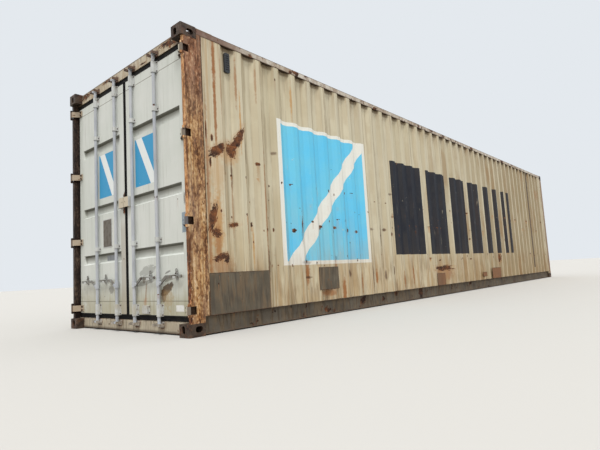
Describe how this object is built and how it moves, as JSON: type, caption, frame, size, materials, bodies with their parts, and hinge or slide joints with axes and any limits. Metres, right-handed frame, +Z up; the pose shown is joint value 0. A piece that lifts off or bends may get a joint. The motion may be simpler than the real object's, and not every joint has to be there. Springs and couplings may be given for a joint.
{
  "type": "shipping container",
  "caption": "High cube steel shipping container: corrugated walls and roof, hollow corner castings, plywood floor and double doors with turning lock rods, handles and latches.",
  "frame": {"origin": "middle of the footprint, on the level of the undersides of the bottom corner castings", "axes": "+X along the length from the door end to the closed front end, +Y across to the left side as seen facing +X, +Z up"},
  "size_m": [12.192, 2.438, 2.896],
  "materials": {
    "casting_steel": "dark brown rusted cast steel, rough",
    "rusted_post": "old paint flaked over orange and brown rust",
    "wall_paint": "weathered beige paint with grime and rust streaks",
    "vent_paint": "dark blue-grey moulded cover",
    "header_paint": "pale grey-beige paint with chips and rust",
    "rail_paint": "brown weathered paint with rust",
    "base_paint": "dark olive-grey underframe paint with dirt",
    "roof_paint": "weathered beige paint, dusty",
    "floor_ply": "worn plywood boards",
    "forged_steel": "rusted forged steel",
    "patch_primer": "flat grey-brown primer",
    "door_paint": "pale grey paint, stained",
    "seal_rubber": "dark weathered rubber",
    "fitting_paint": "pale grey paint, chipped, with rust",
    "rod_paint": "grey-blue paint on tube",
    "handle_steel": "worn galvanised steel with rust"
  },
  "bodies": {
    "container": {"casting_rear_right_low": "casting_steel", "casting_rear_left_low": "casting_steel", "casting_front_right_low": "casting_steel", "casting_front_left_low": "casting_steel", "casting_rear_right_top": "casting_steel", "casting_rear_left_top": "casting_steel", "casting_front_right_top": "casting_steel", "casting_front_left_top": "casting_steel", "rear_post_right": "rusted_post", "rear_post_left": "rusted_post", "front_post_right": "wall_paint", "front_post_left": "wall_paint", "door_header": "header_paint", "door_sill": "header_paint", "front_top_rail": "rail_paint", "front_bottom_rail": "base_paint", "top_side_rail_right": "rail_paint", "top_side_rail_left": "rail_paint", "bottom_side_rail_right": "base_paint", "bottom_side_rail_left": "base_paint", "side_wall_right": "wall_paint", "side_wall_left": "wall_paint", "roof_panel": "roof_paint", "front_wall": "wall_paint", "floor_panels": "floor_ply", "cross_members": "base_paint", "gooseneck_tunnel": "base_paint", "hinge_lugs": "forged_steel", "rod_keepers": "forged_steel", "side_vents": "vent_paint", "repair_plates": "patch_primer"},
    "door_right": {"door_right_frame": "door_paint", "door_right_sheet": "door_paint", "door_right_seal": "seal_rubber", "door_right_fittings": "fitting_paint"},
    "door_left": {"door_left_frame": "door_paint", "door_left_sheet": "door_paint", "door_left_seal": "seal_rubber", "door_left_fittings": "fitting_paint"},
    "rod_right_outer": {"rod_right_outer": "rod_paint"},
    "handle_right_outer": {"handle_right_outer": "handle_steel"},
    "latch_right_outer": {"latch_right_outer": "handle_steel"},
    "rod_right_inner": {"rod_right_inner": "rod_paint"},
    "handle_right_inner": {"handle_right_inner": "handle_steel"},
    "latch_right_inner": {"latch_right_inner": "handle_steel"},
    "rod_left_inner": {"rod_left_inner": "rod_paint"},
    "handle_left_inner": {"handle_left_inner": "handle_steel"},
    "latch_left_inner": {"latch_left_inner": "handle_steel"},
    "rod_left_outer": {"rod_left_outer": "rod_paint"},
    "handle_left_outer": {"handle_left_outer": "handle_steel"},
    "latch_left_outer": {"latch_left_outer": "handle_steel"}
  },
  "joints": [
    {"name": "door_right_swing", "type": "hinge", "parent": "container", "child": "door_right", "pos_m": [-6.081, -1.204, 1.45], "axis": [0, 0, 1], "range_deg": [0, 270]},
    {"name": "door_left_swing", "type": "hinge", "parent": "container", "child": "door_left", "pos_m": [-6.081, 1.204, 1.45], "axis": [0, 0, -1], "range_deg": [0, 270]},
    {"name": "rod_right_outer_turn", "type": "hinge", "parent": "door_right", "child": "rod_right_outer", "pos_m": [-6.034, -0.642, 0.49], "axis": [0, 0, 1], "range_deg": [-100, 0]},
    {"name": "handle_right_outer_lift", "type": "hinge", "parent": "rod_right_outer", "child": "handle_right_outer", "pos_m": [-6.034, -0.684, 0.49], "axis": [-1, 0, 0], "range_deg": [0, 10]},
    {"name": "latch_right_outer_flap", "type": "hinge", "parent": "door_right", "child": "latch_right_outer", "pos_m": [-6.017, -0.927, 0.573], "axis": [0, 1, 0], "range_deg": [-90, 0]},
    {"name": "rod_right_inner_turn", "type": "hinge", "parent": "door_right", "child": "rod_right_inner", "pos_m": [-6.034, -0.185, 0.49], "axis": [0, 0, 1], "range_deg": [-100, 0]},
    {"name": "handle_right_inner_lift", "type": "hinge", "parent": "rod_right_inner", "child": "handle_right_inner", "pos_m": [-6.034, -0.227, 0.49], "axis": [-1, 0, 0], "range_deg": [0, 10]},
    {"name": "latch_right_inner_flap", "type": "hinge", "parent": "door_right", "child": "latch_right_inner", "pos_m": [-6.017, -0.47, 0.573], "axis": [0, 1, 0], "range_deg": [-90, 0]},
    {"name": "rod_left_inner_turn", "type": "hinge", "parent": "door_left", "child": "rod_left_inner", "pos_m": [-6.034, 0.185, 0.49], "axis": [0, 0, -1], "range_deg": [-100, 0]},
    {"name": "handle_left_inner_lift", "type": "hinge", "parent": "rod_left_inner", "child": "handle_left_inner", "pos_m": [-6.034, 0.227, 0.49], "axis": [1, 0, 0], "range_deg": [0, 10]},
    {"name": "latch_left_inner_flap", "type": "hinge", "parent": "door_left", "child": "latch_left_inner", "pos_m": [-6.017, 0.47, 0.573], "axis": [0, 1, 0], "range_deg": [-90, 0]},
    {"name": "rod_left_outer_turn", "type": "hinge", "parent": "door_left", "child": "rod_left_outer", "pos_m": [-6.034, 0.642, 0.49], "axis": [0, 0, -1], "range_deg": [-100, 0]},
    {"name": "handle_left_outer_lift", "type": "hinge", "parent": "rod_left_outer", "child": "handle_left_outer", "pos_m": [-6.034, 0.684, 0.49], "axis": [1, 0, 0], "range_deg": [0, 10]},
    {"name": "latch_left_outer_flap", "type": "hinge", "parent": "door_left", "child": "latch_left_outer", "pos_m": [-6.017, 0.927, 0.573], "axis": [0, 1, 0], "range_deg": [-90, 0]}
  ]
}
